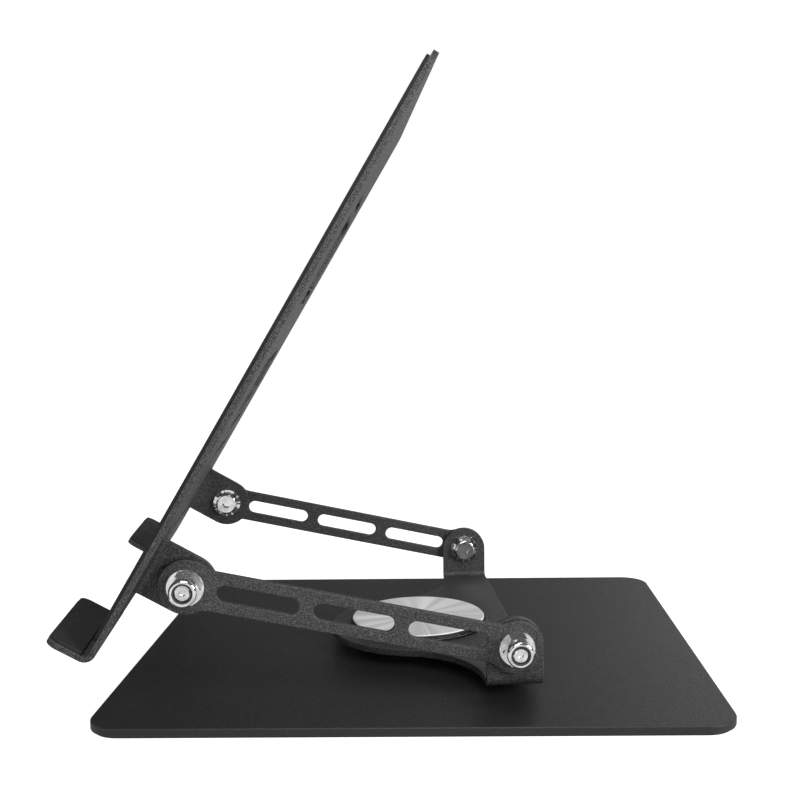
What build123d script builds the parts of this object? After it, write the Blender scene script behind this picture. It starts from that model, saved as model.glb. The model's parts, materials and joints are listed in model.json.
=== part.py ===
"""A swivelling, height-adjustable laptop stand, bent from powder-coated steel sheet.

A flat base carries a turning bracket. Two slotted arms lift from the bracket's ears, and the
vented tray hangs between the arms' upper ends, with two hooks that stop the laptop sliding off.
The origin is on the swivel axis at the desk, +Z is up and +Y points to the back of the stand.
All lengths are in millimetres and all angles in degrees.
"""
import os
from math import cos, radians, sin

from build123d import *

os.makedirs("parts", exist_ok=True)

# Resting pose
turn = 6.3  # the upper works stand swivelled this far on the base
arm_rise = 13.0  # arms above the horizontal, rising to the front
tray_tilt = 59.1  # tray above the horizontal, rising to the back

# Sheet and coating
sheet, tray_sheet = 2.5, 2.0  # arms and bracket, and the lighter tray
bend_inner = 2.0
bend_outer, tray_bend_outer = bend_inner + sheet, bend_inner + tray_sheet
edge_break = 0.35  # rounded edges of the plates

# Base
base_width, base_length, base_thick = 195.0, 229.0, 3.0
base_corner = 12.0
mat_thick, mat_inset = 0.8, 1.2

# Swivel, from the base upwards
pivot_r, pivot_head_r, pivot_rim_r = 8.0, 11.0, 9.5
head_depth = 2.0  # countersunk head in the base
spacer_r, spacer_thick = 25.0, 3.8
glide_thick = 0.8
retainer_r, retainer_thick = 16.0, 0.8
top_glide_thick = 0.5
rim_thick = 0.6  # rolled-over top of the pivot
running = 0.05  # radial clearance of everything that turns

# Bracket that turns on the base
pad_r = 37.5
ear_half = 10.4
ear_y = 29.3  # the ears' centre line, behind the swivel axis
wing_blend_x = 70.0  # where the wing's front curve meets the ear

# Disc over the swivel
disc_r, disc_foot_r, disc_groove_r, disc_hollow_r = 28.4, 29.6, 28.0, 24.0
disc_foot, disc_groove, disc_chamfer, disc_skin = 1.3, 0.4, 0.4, 0.9
disc_thick = 3.1

# Arms
arm_length = 120.0  # pivot to pivot
arm_half, arm_end_r, arm_blend = 7.1, 9.8, 9.0
slot_long, slot_wide, slot_pitch = 29.4, 6.0, 34.6
ear_outside = 76.5  # outer face of every ear, from the middle of the stand
washer_gap = 0.5  # glide washer between an ear and its arm

# Pivot fasteners, M6
bolt_r, bolt_chamfer = 3.0, 0.6
bolt_past = 8.6  # bolt's end beyond the arm
dimple_r, dimple_deep, dimple_taper = 1.05, 0.9, 20  # hollow in the bolt's end
head_r, head_high, head_round, socket_wide, socket_deep = 5.0, 3.3, 0.9, 3.5, 2.0
washer_r, washer_thick, glide_washer_r = 6.5, 0.7, 8.5
flange_r, flange_thick, hex_wide = 6.5, 1.2, 10.0
hex_high, nut_high, collar_r, collar_round = 5.6, 8.9, 4.9, 0.9
insert_r, insert_low, insert_high = 3.6, 6.7, 8.3

# Tray, measured along it (s) and square to it (n) from the upper pivot
tray_half, tray_low, tray_high = 100.0, -28.0, 198.8
tray_back = 14.8  # n of the tray's underside
tray_top_corner, tray_low_corner = 6.0, 3.0
tray_ear_half = 10.8
cut_past_ear, cut_reach = 1.5, 28.0  # the window each ear is bent out of
vent_windows = ((128.2, 33.5), (67.5, 26.0))  # middle along s, and size along s
vent_slots = (151.0, 107.5, 49.0, 36.0, 1.5)  # middle along s
window_wide, window_corner = 92.0, 6.0
vent_slot_long, vent_slot_wide = 60.0, 6.5

# Hooks at the tray's lower edge
hook_inner, hook_outer = 49.0, 97.0  # from the middle of the stand
hook_low, hook_tip = -33.5, 31.4  # s of the lip's underside, n of its tip
hook_corner = 4.0

# Silicone pads
pad_thick, pad_inset, pad_corner = 1.3, 2.0, 5.0
hook_pad_thick, hook_pad_inset = 1.3, 0.4

# ---- Levels and places worked out from the above ----
base_bottom = mat_thick
base_top = base_bottom + base_thick
glide_bottom = base_top + spacer_thick
bracket_bottom = glide_bottom + glide_thick
bracket_top = bracket_bottom + sheet
retainer_bottom = bracket_top + top_glide_thick
retainer_top = retainer_bottom + retainer_thick
arm_inside = ear_outside + washer_gap
arm_outside = arm_inside + sheet
ear_front, ear_back = ear_y - ear_half, ear_y + ear_half
tray_front = tray_back + tray_sheet

rise = radians(arm_rise)
lower_pivot = (ear_y, 24.5)  # y and z, seen from the side
upper_pivot = (ear_y - arm_length * cos(rise), lower_pivot[1] + arm_length * sin(rise))

# ---- Planes ----
turned = Plane(origin=(0, 0, 0), x_dir=(cos(radians(turn)), sin(radians(turn)), 0), z_dir=(0, 0, 1))
middle = Plane(origin=(0, 0, 0), x_dir=turned.y_dir, z_dir=turned.x_dir)
up = Vector(0, 0, 1)
along_tray = turned.y_dir * cos(radians(tray_tilt)) + up * sin(radians(tray_tilt))
off_tray = up * cos(radians(tray_tilt)) - turned.y_dir * sin(radians(tray_tilt))


def side_plane(x, pivot=(0, 0), slope=0.0):
    """Upright plane facing the right arm, x from the middle. Its first axis slopes above the back."""
    first = turned.y_dir * cos(radians(slope)) + up * sin(radians(slope))
    return Plane(origin=turned.from_local_coords((x, *pivot)), x_dir=first, z_dir=turned.x_dir)


def tray_plane(n):
    """Plane of the tray, n in front of the upper pivot: first axis across, second up the tray."""
    origin = turned.from_local_coords((0, *upper_pivot)) + off_tray * n
    return Plane(origin=origin, x_dir=turned.x_dir, z_dir=off_tray)


def level(z):
    """Level plane of the turned upper works."""
    return turned.offset(z)


# ---- Base ----
with BuildPart() as anti_slip_mat:
    with BuildSketch():
        RectangleRounded(base_width - 2 * mat_inset, base_length - 2 * mat_inset, base_corner - mat_inset)
    extrude(amount=mat_thick)
anti_slip_mat.part.label = "anti_slip_mat"
export_step(anti_slip_mat.part, "parts/anti_slip_mat.step")

with BuildPart() as base_plate:
    with BuildSketch(Plane.XY.offset(base_bottom)):
        RectangleRounded(base_width, base_length, base_corner)
    extrude(amount=base_thick)
    fillet(base_plate.faces().filter_by(Axis.Z).edges(), radius=edge_break)
    with BuildSketch(Plane.XZ):
        with BuildLine():
            Polyline(
                (0, base_bottom),
                (pivot_head_r, base_bottom),
                (pivot_r, base_bottom + head_depth),
                (pivot_r, base_top),
                (0, base_top),
                close=True,
            )
        make_face()
    revolve(axis=Axis.Z, mode=Mode.SUBTRACT)
base_plate.part.label = "base_plate"
export_step(base_plate.part, "parts/base_plate.step")

# ---- Swivel ----
with BuildPart() as swivel_pivot:
    with BuildSketch(Plane.XZ):
        with BuildLine():
            Polyline(
                (0, base_bottom),
                (pivot_head_r, base_bottom),
                (pivot_r, base_bottom + head_depth),
                (pivot_r, retainer_top),
                (pivot_rim_r, retainer_top),
                (pivot_rim_r, retainer_top + rim_thick),
                (0, retainer_top + rim_thick),
                close=True,
            )
        make_face()
    revolve(axis=Axis.Z)
swivel_pivot.part.label = "swivel_pivot"
export_step(swivel_pivot.part, "parts/swivel_pivot.step")

# The rings stacked round the pivot: name, outer radius, bottom and thickness.
swivel_rings = (
    ("swivel_spacer", spacer_r, base_top, spacer_thick),
    ("lower_glide_ring", spacer_r, glide_bottom, glide_thick),
    ("upper_glide_ring", retainer_r, bracket_top, top_glide_thick),
    ("retaining_washer", retainer_r, retainer_bottom, retainer_thick),
)
for ring_name, ring_r, ring_bottom, ring_thick in swivel_rings:
    with BuildPart() as swivel_ring:
        with BuildSketch(Plane.XY.offset(ring_bottom)):
            Circle(ring_r)
            Circle(pivot_r + running, mode=Mode.SUBTRACT)
        extrude(amount=ring_thick)
    swivel_ring.part.label = ring_name
    export_step(swivel_ring.part, f"parts/{ring_name}.step")

with BuildPart() as swivel_bracket:
    # Round pad with two wings; the wings' front edges curve out of the pad to the ears.
    blend_r = (wing_blend_x**2 / (pad_r + ear_front) - (pad_r - ear_front)) / 2
    share = pad_r / (pad_r + blend_r)
    join = (wing_blend_x * share, (ear_front - blend_r) * share)
    bend_x = ear_outside - bend_outer
    with BuildSketch(level(bracket_bottom)):
        with BuildLine():
            Line((-bend_x, ear_back), (bend_x, ear_back))
            Line((bend_x, ear_back), (bend_x, ear_front))
            Line((bend_x, ear_front), (wing_blend_x, ear_front))
            TangentArc((wing_blend_x, ear_front), join, tangent=(-1, 0))
            ThreePointArc(join, (0, -pad_r), (-join[0], join[1]))
            TangentArc((-wing_blend_x, ear_front), (-join[0], join[1]), tangent=(1, 0))
            Line((-wing_blend_x, ear_front), (-bend_x, ear_front))
            Line((-bend_x, ear_front), (-bend_x, ear_back))
        make_face()
        Circle(pivot_r + running, mode=Mode.SUBTRACT)
    extrude(amount=sheet)
    # Bend and ear, on the right and then mirrored to the left.
    bend_z = bracket_bottom + bend_outer
    bend_end = Plane(
        origin=turned.from_local_coords((bend_x, ear_back, bend_z)),
        x_dir=turned.x_dir,
        z_dir=-turned.y_dir,
    )
    with BuildSketch(bend_end):
        Circle(bend_outer)
        Circle(bend_inner, mode=Mode.SUBTRACT)
        with Locations((bend_outer / 2, -bend_outer / 2)):
            Rectangle(bend_outer, bend_outer, mode=Mode.INTERSECT)
    extrude(amount=2 * ear_half)
    straight = lower_pivot[1] - bend_z
    with BuildSketch(side_plane(ear_outside - sheet, lower_pivot)):
        with Locations((0, -straight / 2)):
            Rectangle(2 * ear_half, straight)
        Circle(ear_half)
        Circle(bolt_r + running, mode=Mode.SUBTRACT)
    extrude(amount=sheet)
    mirror(about=middle)
swivel_bracket.part.label = "swivel_bracket"
export_step(swivel_bracket.part, "parts/swivel_bracket.step")

with BuildPart() as turntable_disc:
    disc_top = bracket_top + disc_thick
    groove_z = bracket_top + disc_foot
    with BuildSketch(Plane.XZ):
        with BuildLine():
            Polyline(
                (disc_hollow_r, bracket_top),
                (disc_foot_r, bracket_top),
                (disc_foot_r, groove_z),
                (disc_groove_r, groove_z),
                (disc_groove_r, groove_z + disc_groove),
                (disc_r, groove_z + disc_groove),
                (disc_r, disc_top - disc_chamfer),
                (disc_r - disc_chamfer, disc_top),
                (0, disc_top),
                (0, disc_top - disc_skin),
                (disc_hollow_r, disc_top - disc_skin),
                close=True,
            )
        make_face()
    revolve(axis=Axis.Z)
turntable_disc.part.label = "turntable_disc"
export_step(turntable_disc.part, "parts/turntable_disc.step")

# ---- Arms ----
arm_middle = ((lower_pivot[0] + upper_pivot[0]) / 2, (lower_pivot[1] + upper_pivot[1]) / 2)
for arm_name, arm_x in (("right_arm", arm_inside), ("left_arm", -arm_outside)):
    with BuildPart() as arm:
        with BuildSketch(side_plane(arm_x, arm_middle, -arm_rise)) as arm_outline:
            Rectangle(arm_length, 2 * arm_half)
            with Locations((-arm_length / 2, 0), (arm_length / 2, 0)):
                Circle(arm_end_r)
            fillet(arm_outline.vertices(), radius=arm_blend)
            with Locations((-arm_length / 2, 0), (arm_length / 2, 0)):
                Circle(bolt_r + running, mode=Mode.SUBTRACT)
            with Locations((-slot_pitch, 0), (0, 0), (slot_pitch, 0)):
                SlotOverall(slot_long, slot_wide, mode=Mode.SUBTRACT)
        extrude(amount=sheet)
        fillet(arm.faces().filter_by(middle).edges(), radius=edge_break)
    arm.part.label = arm_name
    export_step(arm.part, f"parts/{arm_name}.step")

# ---- Pivot fasteners: one set on the lower axis, one on the upper ----
for axis_name, pivot, ear_sheet in (("lower", lower_pivot, sheet), ("upper", upper_pivot, tray_sheet)):
    head_face = ear_outside - ear_sheet - washer_thick
    with BuildPart() as pivot_bolts:
        with BuildSketch(side_plane(head_face - head_high, pivot)):
            Circle(head_r)
        extrude(amount=head_high)
        fillet(pivot_bolts.edges().sort_by(Axis(middle.origin, middle.z_dir))[0], radius=head_round)
        with BuildSketch(side_plane(head_face, pivot)):
            Circle(bolt_r)
        extrude(amount=arm_outside + bolt_past - head_face)
        chamfer(pivot_bolts.edges().sort_by(Axis(middle.origin, middle.z_dir))[-1], length=bolt_chamfer)
        with BuildSketch(side_plane(head_face - head_high, pivot)):
            RegularPolygon(socket_wide / 2, 6, major_radius=False)
        extrude(amount=socket_deep, mode=Mode.SUBTRACT)
        with BuildSketch(side_plane(arm_outside + bolt_past, pivot)):
            Circle(dimple_r)
        extrude(amount=-dimple_deep, taper=dimple_taper, mode=Mode.SUBTRACT)
        mirror(about=middle)
    pivot_bolts.part.label = f"{axis_name}_pivot_bolts"
    export_step(pivot_bolts.part, f"parts/{axis_name}_pivot_bolts.step")

    # Flat rings on the same axis: name, outer radius, inner face and thickness.
    flat_rings = (
        ("inner_washers", washer_r, head_face, washer_thick),
        ("glide_washers", glide_washer_r, ear_outside, washer_gap),
    )
    for ring_name, ring_r, ring_x, ring_thick in flat_rings:
        with BuildPart() as side_rings:
            with BuildSketch(side_plane(ring_x, pivot)):
                Circle(ring_r)
                Circle(bolt_r + running, mode=Mode.SUBTRACT)
            extrude(amount=ring_thick)
            mirror(about=middle)
        side_rings.part.label = f"{axis_name}_{ring_name}"
        export_step(side_rings.part, f"parts/{axis_name}_{ring_name}.step")

    with BuildPart() as flange_nuts:
        with BuildSketch(side_plane(arm_outside, pivot)):
            Circle(flange_r)
        extrude(amount=flange_thick)
        with BuildSketch(side_plane(arm_outside + flange_thick, pivot)):
            RegularPolygon(hex_wide / 2, 6, major_radius=False)
        extrude(amount=hex_high - flange_thick)
        with BuildSketch(side_plane(arm_outside + hex_high, pivot)):
            Circle(collar_r)
        extrude(amount=nut_high - hex_high)
        fillet(flange_nuts.edges().sort_by(Axis(middle.origin, middle.z_dir))[-1], radius=collar_round)
        with BuildSketch(side_plane(arm_outside, pivot)):
            Circle(bolt_r + running)
        extrude(amount=nut_high, mode=Mode.SUBTRACT)
        with BuildSketch(side_plane(arm_outside + insert_low, pivot)):
            Circle(insert_r)
        extrude(amount=nut_high - insert_low, mode=Mode.SUBTRACT)
        mirror(about=middle)
    flange_nuts.part.label = f"{axis_name}_flange_nuts"
    export_step(flange_nuts.part, f"parts/{axis_name}_flange_nuts.step")

    with BuildPart() as lock_inserts:
        with BuildSketch(side_plane(arm_outside + insert_low, pivot)):
            Circle(insert_r)
            Circle(bolt_r + running, mode=Mode.SUBTRACT)
        extrude(amount=insert_high - insert_low)
        mirror(about=middle)
    lock_inserts.part.label = f"{axis_name}_lock_inserts"
    export_step(lock_inserts.part, f"parts/{axis_name}_lock_inserts.step")

# ---- Tray ----
tray_long = tray_high - tray_low
tray_mid = (tray_high + tray_low) / 2
ear_bend_x = ear_outside + bend_inner
cut_mid = ear_bend_x - cut_reach / 2
cut_long = 2 * (tray_ear_half + cut_past_ear)
hook_mid = (hook_inner + hook_outer) / 2
hook_wide = hook_outer - hook_inner
hook_bend = (hook_low + tray_bend_outer, tray_back + tray_bend_outer)  # s and n of the bend's centre

with BuildPart() as tray_plate:
    # Flat sheet with its vents and the two windows that the ears leave.
    with BuildSketch(tray_plane(tray_back)) as tray_outline:
        with Locations((0, tray_mid)):
            Rectangle(2 * tray_half, tray_long)
        low_corners, top_corners = tray_outline.vertices().group_by(Axis.Y)
        fillet(top_corners, radius=tray_top_corner)
        fillet(low_corners, radius=tray_low_corner)
        with Locations((-cut_mid, 0), (cut_mid, 0)):
            Rectangle(cut_reach, cut_long, mode=Mode.SUBTRACT)
        for window_mid, window_long in vent_windows:
            with Locations((0, window_mid)):
                RectangleRounded(window_wide, window_long, window_corner, mode=Mode.SUBTRACT)
        for slot_mid in vent_slots:
            with Locations((0, slot_mid)):
                SlotOverall(vent_slot_long, vent_slot_wide, mode=Mode.SUBTRACT)
        # Tongues that run on into the hooks.
        tongue_mid = (tray_low + hook_bend[0]) / 2
        with Locations((-hook_mid, tongue_mid), (hook_mid, tongue_mid)):
            Rectangle(hook_wide, tray_low - hook_bend[0])
    extrude(amount=tray_sheet)
    # Right ear and its bend.
    ear_end = Plane(
        origin=turned.from_local_coords((ear_bend_x, *upper_pivot))
        + off_tray * (tray_back - bend_inner)
        + along_tray * tray_ear_half,
        x_dir=turned.x_dir,
        z_dir=-along_tray,
    )
    with BuildSketch(ear_end):
        Circle(tray_bend_outer)
        Circle(bend_inner, mode=Mode.SUBTRACT)
        with Locations((-tray_bend_outer / 2, tray_bend_outer / 2)):
            Rectangle(tray_bend_outer, tray_bend_outer, mode=Mode.INTERSECT)
    extrude(amount=2 * tray_ear_half)
    with BuildSketch(side_plane(ear_outside - tray_sheet, upper_pivot, tray_tilt)):
        with Locations((0, (tray_back - bend_inner) / 2)):
            Rectangle(2 * tray_ear_half, tray_back - bend_inner)
        Circle(tray_ear_half)
        Circle(bolt_r + running, mode=Mode.SUBTRACT)
    extrude(amount=tray_sheet)
    # Right hook: a bend, then a lip square to the tray.
    with BuildSketch(side_plane(hook_inner, upper_pivot, tray_tilt)):
        with Locations(hook_bend):
            Circle(tray_bend_outer)
            Circle(bend_inner, mode=Mode.SUBTRACT)
        with Locations((hook_bend[0] - tray_bend_outer / 2, hook_bend[1] - tray_bend_outer / 2)):
            Rectangle(tray_bend_outer, tray_bend_outer, mode=Mode.INTERSECT)
    extrude(amount=hook_wide)
    lip_plane = Plane(
        origin=turned.from_local_coords((hook_mid, *upper_pivot)) + along_tray * hook_low,
        x_dir=turned.x_dir,
        z_dir=-along_tray,
    )
    with BuildSketch(lip_plane) as lip_outline:
        with Locations((0, (hook_bend[1] + hook_tip) / 2)):
            Rectangle(hook_wide, hook_tip - hook_bend[1])
        fillet(lip_outline.vertices().group_by(Axis.Y)[-1], radius=hook_corner)
    extrude(amount=-tray_sheet)
    mirror(about=middle)
tray_plate.part.label = "tray_plate"
export_step(tray_plate.part, "parts/tray_plate.step")

with BuildPart() as tray_pad:
    with BuildSketch(tray_plane(tray_front)):
        with Locations((0, tray_mid)):
            RectangleRounded(2 * (tray_half - pad_inset), tray_long - 2 * pad_inset, pad_corner)
        with Locations((-cut_mid, 0), (cut_mid, 0)):
            Rectangle(cut_reach, cut_long, mode=Mode.SUBTRACT)
        for window_mid, window_long in vent_windows:
            with Locations((0, window_mid)):
                RectangleRounded(window_wide, window_long, window_corner, mode=Mode.SUBTRACT)
        for slot_mid in vent_slots:
            with Locations((0, slot_mid)):
                SlotOverall(vent_slot_long, vent_slot_wide, mode=Mode.SUBTRACT)
    extrude(amount=pad_thick)
tray_pad.part.label = "tray_pad"
export_step(tray_pad.part, "parts/tray_pad.step")

for pad_name, side in (("right_hook_pad", 1), ("left_hook_pad", -1)):
    with BuildPart() as hook_pad:
        hook_middle = turned.from_local_coords((side * hook_mid, *upper_pivot))
        hook_pad_plane = Plane(
            origin=hook_middle + along_tray * (hook_low + tray_sheet),
            x_dir=turned.x_dir,
            z_dir=-along_tray,
        )
        pad_from = hook_bend[1] + hook_pad_inset
        pad_to = hook_tip - hook_pad_inset
        with BuildSketch(hook_pad_plane) as hook_pad_outline:
            with Locations((0, (pad_from + pad_to) / 2)):
                Rectangle(hook_wide - 2 * hook_pad_inset, pad_to - pad_from)
            tip_corners = hook_pad_outline.vertices().group_by(Axis.Y)[-1]
            fillet(tip_corners, radius=hook_corner - hook_pad_inset)
        extrude(amount=-hook_pad_thick)
    hook_pad.part.label = pad_name
    export_step(hook_pad.part, f"parts/{pad_name}.step")
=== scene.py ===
"""Looks of the laptop stand: procedural materials, soft studio light and the camera.

Everything is in metres in the part's own frame: the origin is on the swivel axis at the desk, +Z is up,
+Y is the back of the stand and +X its right side, which the camera faces.
"""

import json
from math import cos, radians, sin

import bpy
from mathutils import Matrix, Vector

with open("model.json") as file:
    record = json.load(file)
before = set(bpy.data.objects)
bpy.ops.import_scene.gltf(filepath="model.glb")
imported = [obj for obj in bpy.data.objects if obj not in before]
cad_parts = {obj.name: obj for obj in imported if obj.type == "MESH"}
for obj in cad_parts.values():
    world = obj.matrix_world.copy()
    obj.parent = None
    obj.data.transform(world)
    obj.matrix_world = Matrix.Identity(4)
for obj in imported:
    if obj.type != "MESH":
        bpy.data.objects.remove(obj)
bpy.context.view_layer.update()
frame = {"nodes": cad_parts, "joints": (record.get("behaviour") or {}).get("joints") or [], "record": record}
nodes = frame["nodes"]


# ---- Camera ----
camera_place = (0.4512, 0.0141, 0.1519)
camera_pitch, camera_yaw, camera_roll = 6.41, -0.91, -0.67  # degrees: down, to the front, about the view
camera_lens, sensor = 48.93, 36.0  # mm
nearest_seen = 0.01
camera_shift = (-0.049, 0.027)


def aim(pitch, yaw, roll):
    """Camera's turn: it looks along -X, pitched down, swung to the front and rolled."""
    pitch, yaw, roll = radians(pitch), radians(yaw), radians(roll)
    ahead = Vector((-cos(pitch) * cos(yaw), cos(pitch) * sin(yaw), -sin(pitch)))
    level_right = ahead.cross(Vector((0, 0, 1))).normalized()
    level_up = level_right.cross(ahead)
    right = level_right * cos(roll) + level_up * sin(roll)
    over = level_up * cos(roll) - level_right * sin(roll)
    return Matrix((right, over, -ahead)).transposed()


camera_data = bpy.data.cameras.new("camera")
camera_data.sensor_width = sensor
camera_data.lens = camera_lens
camera_data.shift_x, camera_data.shift_y = camera_shift
camera_data.clip_start = nearest_seen
camera = bpy.data.objects.new("camera", camera_data)
camera_turn = aim(camera_pitch, camera_yaw, camera_roll).to_4x4()
camera.matrix_world = Matrix.Translation(camera_place) @ camera_turn
bpy.context.scene.collection.objects.link(camera)
bpy.context.scene.camera = camera


# ---- Node helpers ----
mix_from, mix_to, mix_out = 6, 7, 2  # the Mix node's colour sockets share their names, so go by number
soft_low, soft_high = 0.3, 0.7  # the middle of a noise's range, where most of it lies


def grey(level, blue=None):
    """A neutral colour, or one with its own blue."""
    return (level, level, level if blue is None else blue)


class Shader:
    """A material with one Principled shader, and short ways to add nodes to it."""

    def __init__(self, name):
        self.material = bpy.data.materials.new(name)
        self.material.use_nodes = True
        self.tree = self.material.node_tree
        self.tree.nodes.clear()
        self.out = self.add("OutputMaterial")
        self.shader = self.add("BsdfPrincipled")
        self.link(self.shader.outputs["BSDF"], self.out.inputs["Surface"])
        self.place = self.add("TexCoord").outputs["Object"]

    def add(self, kind, **settings):
        node = self.tree.nodes.new("ShaderNode" + kind)
        for key, value in settings.items():
            setattr(node, key, value)
        return node

    def link(self, a, b):
        self.tree.links.new(a, b)

    def set(self, **values):
        for key, value in values.items():
            self.shader.inputs[key.replace("_", " ")].default_value = value

    def noise(self, scale, detail=2.0, roughness=0.5, place=None):
        """Noise of about scale grains a metre."""
        node = self.add("TexNoise")
        node.inputs["Scale"].default_value = scale
        node.inputs["Detail"].default_value = detail
        node.inputs["Roughness"].default_value = roughness
        self.link(place or self.place, node.inputs["Vector"])
        return node.outputs["Fac"]

    def cells(self, scale):
        """Distance to the nearest of points strewn about scale to a metre."""
        node = self.add("TexVoronoi")
        node.inputs["Scale"].default_value = scale
        self.link(self.place, node.inputs["Vector"])
        return node.outputs["Distance"]

    def spread(self, value, low, high, to_low=0.0, to_high=1.0):
        """value's range low..high taken to to_low..to_high."""
        node = self.add("MapRange")
        ends = {"From Min": low, "From Max": high, "To Min": to_low, "To Max": to_high}
        for key, number in ends.items():
            node.inputs[key].default_value = number
        self.link(value, node.inputs["Value"])
        return node.outputs["Result"]

    def times(self, value, factor):
        node = self.add("Math", operation="MULTIPLY")
        self.link(value, node.inputs[0])
        node.inputs[1].default_value = factor
        return node.outputs["Value"]

    def vector(self, operation, a, b=None):
        """Vector node of one or two inputs, where b is another node's output or a plain vector."""
        node = self.add("VectorMath", operation=operation)
        self.link(a, node.inputs[0])
        if isinstance(b, (tuple, list)):
            node.inputs[1].default_value = b
        elif b:
            self.link(b, node.inputs[1])
        return node.outputs["Value" if operation in ("LENGTH", "DOT_PRODUCT") else "Vector"]

    def height(self, vector):
        """A vector's Z."""
        node = self.add("SeparateXYZ")
        self.link(vector, node.inputs["Vector"])
        return node.outputs["Z"]

    def blend(self, share, a, b):
        """Colour a to colour b by share."""
        node = self.add("Mix", data_type="RGBA")
        self.link(share, node.inputs["Factor"])
        for socket, value in zip((node.inputs[mix_from], node.inputs[mix_to]), (a, b)):
            if isinstance(value, tuple):
                socket.default_value = (*value, 1.0)
            else:
                self.link(value, socket)
        return node.outputs[mix_out]

    def edge(self, radius):
        """Normal rounded over by radius, and a mask that is 1 where that is well off the flat one."""
        bevel = self.add("Bevel", samples=4)
        bevel.inputs["Radius"].default_value = radius
        flat = self.add("NewGeometry").outputs["Normal"]
        agreement = self.vector("DOT_PRODUCT", bevel.outputs["Normal"], flat)
        return bevel.outputs["Normal"], self.spread(agreement, low=1.0, high=0.75)

    def bump(self, height, strength, distance, normal=None):
        node = self.add("Bump")
        node.inputs["Strength"].default_value = strength
        node.inputs["Distance"].default_value = distance
        self.link(height, node.inputs["Height"])
        if normal:
            self.link(normal, node.inputs["Normal"])
        return node.outputs["Normal"]

    def give(self, colour=None, roughness=None, normal=None):
        for key, value in (("Base Color", colour), ("Roughness", roughness), ("Normal", normal)):
            if value:
                self.link(value, self.shader.inputs[key])


# ---- Materials ----
def powder_coat(name, grain, dark, pale, glint, smoothest, roughest, relief):
    """Black powder coat: grains with smoother tops painted lighter as glints, and a painted highlight along
    the edges.
    """
    look = Shader(name)
    grains = look.noise(grain, detail=3.0, roughness=0.65)
    patches = look.noise(18, detail=3.0)
    rounded, painted_edge_highlight = look.edge(radius=0.0004)
    body = look.blend(look.spread(patches, soft_low, soft_high), dark, pale)
    # Painted highlight: the tops of the grains are painted lighter, as glints.
    specks = look.spread(grains, low=0.47, high=0.66)
    tops = look.blend(look.times(specks, glint), body, grey(0.13, blue=0.132))
    # Painted highlight: the rounded edges are painted paler.
    look.give(
        colour=look.blend(look.times(painted_edge_highlight, 0.7), tops, grey(0.14, blue=0.142)),
        roughness=look.spread(grains, low=0.35, high=0.7, to_low=roughest, to_high=smoothest),
        normal=look.bump(grains, strength=relief, distance=0.00025, normal=rounded),
    )
    look.set(Specular_IOR_Level=0.45)
    return look.material


def silicone():
    """Matt dark silicone with a faint fine grain, and a painted highlight that makes it greyer along its
    edges.
    """
    look = Shader("silicone")
    fine = look.noise(2600)
    patches = look.noise(25)
    rounded, painted_edge_highlight = look.edge(radius=0.0003)
    dark, pale = grey(0.010, blue=0.0105), grey(0.015, blue=0.0155)
    body = look.blend(look.spread(patches, soft_low, soft_high), dark, pale)
    # Painted highlight: the rounded edges are painted greyer.
    look.give(
        colour=look.blend(look.times(painted_edge_highlight, 0.3), body, grey(0.04, blue=0.041)),
        roughness=look.spread(look.noise(300), soft_low, soft_high, to_low=0.52, to_high=0.66),
        normal=look.bump(fine, strength=0.12, distance=0.00005, normal=rounded),
    )
    look.set(IOR=1.42)
    return look.material


def mat_rubber():
    """Dull black rubber with a pebbled face."""
    look = Shader("mat_rubber")
    look.give(
        colour=look.blend(look.noise(60), grey(0.008), grey(0.02)),
        roughness=look.spread(look.noise(400), soft_low, soft_high, to_low=0.75, to_high=0.9),
        normal=look.bump(look.cells(900), strength=0.3, distance=0.0002),
    )
    return look.material


def spun_metal(face_height):
    """Turned face with fine rings about the swivel axis, a sunburst of streaks painted as reflection,
    painted highlights on its edges, and painted shade on its side wall and below the groove.
    """
    look = Shader("spun_metal")
    outward = look.vector("MULTIPLY", look.place, (1, 1, 0))
    far = look.vector("LENGTH", outward)
    heading = look.vector("NORMALIZE", outward)
    turning = look.add("TexNoise", noise_dimensions="1D")
    turning.inputs["Scale"].default_value = 4200
    turning.inputs["Detail"].default_value = 3
    look.link(far, turning.inputs["W"])
    rings = turning.outputs["Fac"]
    tangent = look.add("Tangent", direction_type="RADIAL", axis="Z")
    look.link(tangent.outputs["Tangent"], look.shader.inputs["Tangent"])
    rounded, painted_edge_highlight = look.edge(radius=0.00015)
    # Painted reflection: the sunburst's broad wedges and thin bright streaks are painted into the colour.
    painted_wedges = look.spread(look.noise(2.2, detail=1.0, place=heading), low=0.4, high=0.6)
    painted_rays = look.spread(look.noise(26, detail=3.0, roughness=0.7, place=heading), low=0.56, high=0.66)
    body = look.blend(painted_wedges, grey(0.66, blue=0.665), grey(1.0))
    body = look.blend(look.times(painted_rays, 0.8), body, grey(1.0))
    # Painted shade: the steep side wall is painted near-black.
    upright = look.height(look.add("NewGeometry").outputs["Normal"])
    shaded_wall = look.spread(upright, low=0.3, high=0.6, to_low=1.0, to_high=0.0)
    body = look.blend(shaded_wall, body, grey(0.05))
    # Painted shade: below the groove the disc is painted near-black.
    foot_low, foot_high = face_height - 0.0013, face_height - 0.0009
    shaded_foot = look.spread(look.height(look.place), foot_low, foot_high, to_low=1.0, to_high=0.0)
    body = look.blend(shaded_foot, body, grey(0.004))
    # Painted highlight: the rounded edges are painted near-white.
    look.give(
        colour=look.blend(look.times(painted_edge_highlight, 0.8), body, grey(0.95)),
        roughness=look.spread(rings, soft_low, soft_high, to_low=0.34, to_high=0.46),
        normal=look.bump(rings, strength=0.04, distance=0.00003, normal=rounded),
    )
    look.set(Metallic=0.3, Anisotropic=0.6)
    return look.material


plating_edge = 0.00018
# Near-white painted on plated edges as a highlight.
painted_highlight_grey = grey(0.95)


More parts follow.
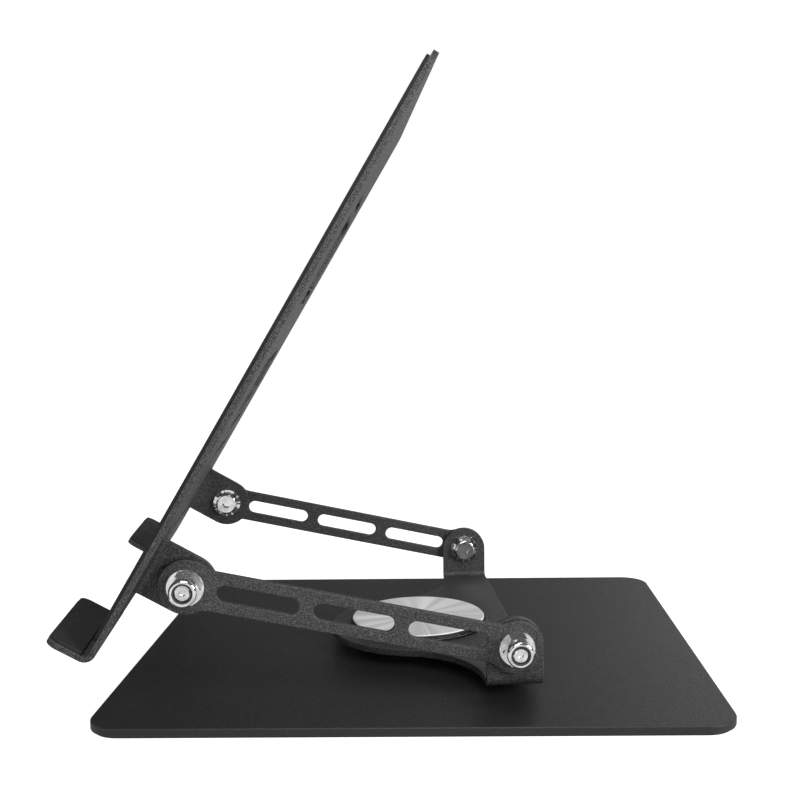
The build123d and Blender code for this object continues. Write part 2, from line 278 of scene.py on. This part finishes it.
def plated(name, colour, smear, smoothest, roughest):
    """Plating with smears, faint scratches that run along X, and a painted highlight along its edges."""
    look = Shader(name)
    stretched = look.add("Mapping")
    stretched.inputs["Scale"].default_value = (600, 5200, 5200)
    look.link(look.place, stretched.inputs["Vector"])
    scratches = look.noise(1, roughness=0.6, place=stretched.outputs["Vector"])
    smears = look.noise(260, detail=3.0)
    painted_edge_highlight = look.edge(plating_edge)[1]
    body = look.blend(look.spread(smears, low=0.35, high=0.7), colour, smear)
    # Painted highlight: the rounded edges are painted near-white.
    look.give(
        colour=look.blend(look.times(painted_edge_highlight, 0.5), body, painted_highlight_grey),
        roughness=look.spread(smears, soft_low, soft_high, to_low=smoothest, to_high=roughest),
        normal=look.bump(scratches, strength=0.03, distance=0.00003),
    )
    look.set(Metallic=1.0)
    return look.material


def sunburst_washer(joint):
    """Plated washer whose face has radial streaks about the joint's axis painted as dark reflection and
    bright glints, with a painted highlight on its edges.
    """
    look = Shader("washer_" + joint["name"])
    from_joint = look.vector("SUBTRACT", look.place, joint["pos_m"])
    along = look.vector("PROJECT", from_joint, joint["axis"])
    heading = look.vector("NORMALIZE", look.vector("SUBTRACT", from_joint, along))
    painted_rays = look.noise(3.5, roughness=0.6, place=heading)
    rounded, painted_edge_highlight = look.edge(plating_edge)
    # Painted reflection: dark reflection and bright glints are painted in rays about the axis.
    body = look.blend(look.spread(painted_rays, low=0.5, high=0.58), grey(0.12, blue=0.125), grey(0.9))
    # Painted highlight: the rounded edges are painted near-white.
    look.give(
        colour=look.blend(look.times(painted_edge_highlight, 0.4), body, painted_highlight_grey),
        roughness=look.spread(painted_rays, low=0.4, high=0.6, to_low=0.28, to_high=0.14),
        normal=look.bump(painted_rays, strength=0.1, distance=0.0001, normal=rounded),
    )
    look.set(Metallic=1.0)
    return look.material


def nylon():
    """Dark nylon of the locking inserts and glide pieces."""
    look = Shader("nylon")
    look.give(
        colour=look.blend(look.noise(120), grey(0.02, blue=0.021), grey(0.035, blue=0.036)),
        roughness=look.spread(look.noise(500), soft_low, soft_high, to_low=0.4, to_high=0.55),
        normal=look.bump(look.noise(1500), strength=0.1, distance=0.00005),
    )
    return look.material


# ---- Finishes of the pieces ----
coat_base = powder_coat(
    "coat_base",
    grain=2000,
    dark=grey(0.006, blue=0.0065),
    pale=grey(0.009, blue=0.0095),
    glint=0.12,
    smoothest=0.42,
    roughest=0.55,
    relief=0.35,
)
coat_works = powder_coat(
    "coat_works",
    grain=2100,
    dark=grey(0.009, blue=0.0095),
    pale=grey(0.014, blue=0.0145),
    glint=0.75,
    smoothest=0.36,
    roughest=0.58,
    relief=0.85,
)
chrome = plated("chrome", grey(0.97, blue=0.98), smear=grey(0.55, blue=0.56), smoothest=0.05, roughest=0.14)
zinc = plated("zinc", grey(0.5), smear=grey(0.42, blue=0.41), smoothest=0.25, roughest=0.4)
disc_top = max(corner[2] for corner in nodes["turntable_disc"].bound_box)

finish = {
    "powder_coat": coat_works,
    "silicone": silicone(),
    "rubber_mat": mat_rubber(),
    "spun_aluminium": spun_metal(disc_top),
    "chrome": chrome,
    "steel": zinc,
    "nylon": nylon(),
}
joints = {joint["name"]: joint for joint in frame["joints"]}
own_finish = {
    "base_plate": coat_base,
    "lower_inner_washers": sunburst_washer(joints["arm_lift"]),
    "upper_inner_washers": sunburst_washer(joints["tray_tilt"]),
}
for part in frame["record"]["subparts"]:
    shown = nodes[part["node"]]
    shown.data.materials.clear()
    shown.data.materials.append(own_finish.get(part["node"], finish[part["material_slot"]]))


# ---- Floor, surroundings and lights ----
# The camera sees floor and room as plain white. The stand sees them dimmer, so that its black stays black.
shown_white = 1.0
floor_glow = 0.38
room_glow = 0.125
floor_reach = 6.0
white = (*grey(1), 1)

floor_data = bpy.data.meshes.new("floor")
quarters = ((-1, -1), (1, -1), (1, 1), (-1, 1))
floor_data.from_pydata([(x * floor_reach, y * floor_reach, 0) for x, y in quarters], [], [(0, 1, 2, 3)])
floor = bpy.data.objects.new("floor", floor_data)
bpy.context.scene.collection.objects.link(floor)
paper = Shader("paper")
paper.give(
    colour=paper.blend(paper.noise(40), grey(0.30), grey(0.33)),
    roughness=paper.spread(paper.noise(300), soft_low, soft_high, to_low=0.85, to_high=0.95),
)
paper.set(Emission_Color=white)
seen_straight = paper.add("LightPath").outputs["Is Camera Ray"]
glow = paper.spread(seen_straight, low=0.0, high=1.0, to_low=floor_glow, to_high=shown_white)
paper.link(glow, paper.shader.inputs["Emission Strength"])
floor_data.materials.append(paper.material)

world = bpy.data.worlds.new("studio")
world.use_nodes = True
world_nodes, world_links = world.node_tree.nodes, world.node_tree.links
room = world_nodes["Background"]
backdrop = world_nodes.new("ShaderNodeBackground")
for background, strength in ((room, room_glow), (backdrop, shown_white)):
    background.inputs["Color"].default_value = white
    background.inputs["Strength"].default_value = strength
light_path = world_nodes.new("ShaderNodeLightPath")
either = world_nodes.new("ShaderNodeMixShader")
world_links.new(light_path.outputs["Is Camera Ray"], either.inputs["Fac"])
world_links.new(room.outputs["Background"], either.inputs[1])
world_links.new(backdrop.outputs["Background"], either.inputs[2])
world_links.new(either.outputs["Shader"], world_nodes["World Output"].inputs["Surface"])
bpy.context.scene.world = world
bpy.context.scene.view_settings.view_transform = "Standard"


def softbox(name, place, target, size, watts):
    """Area light that the camera doesn't see."""
    data = bpy.data.lights.new(name, "AREA")
    data.shape = "RECTANGLE"
    data.size, data.size_y = size
    data.energy = watts
    box = bpy.data.objects.new(name, data)
    box.location = place
    box.rotation_euler = (Vector(target) - Vector(place)).to_track_quat("-Z", "Y").to_euler()
    box.visible_camera = False
    bpy.context.scene.collection.objects.link(box)


# Points that the lights face.
desk, swivel, tray = (0, 0, 0), (0, 0, 0.05), (0, 0, 0.1)
near_floor = (0.35, 0, 0)
softbox("key_box", place=(0.75, 1.05, 0.45), target=swivel, size=(0.35, 0.45), watts=13)
softbox("sheen_box", place=(-1.6, 1.1, 0.7), target=swivel, size=(1.5, 0.8), watts=5.2)
softbox("horizon_box", place=(-1.8, 0.2, 0.35), target=swivel, size=(1.6, 0.4), watts=0.75)
softbox("front_box", place=(0.5, -1.5, 0.9), target=tray, size=(1.2, 0.9), watts=4)
softbox("top_box", place=(0.1, 0.2, 1.3), target=desk, size=(0.5, 0.5), watts=4)
softbox("floor_box", place=(0.6, 0, 0.45), target=near_floor, size=(0.3, 0.5), watts=2.8)
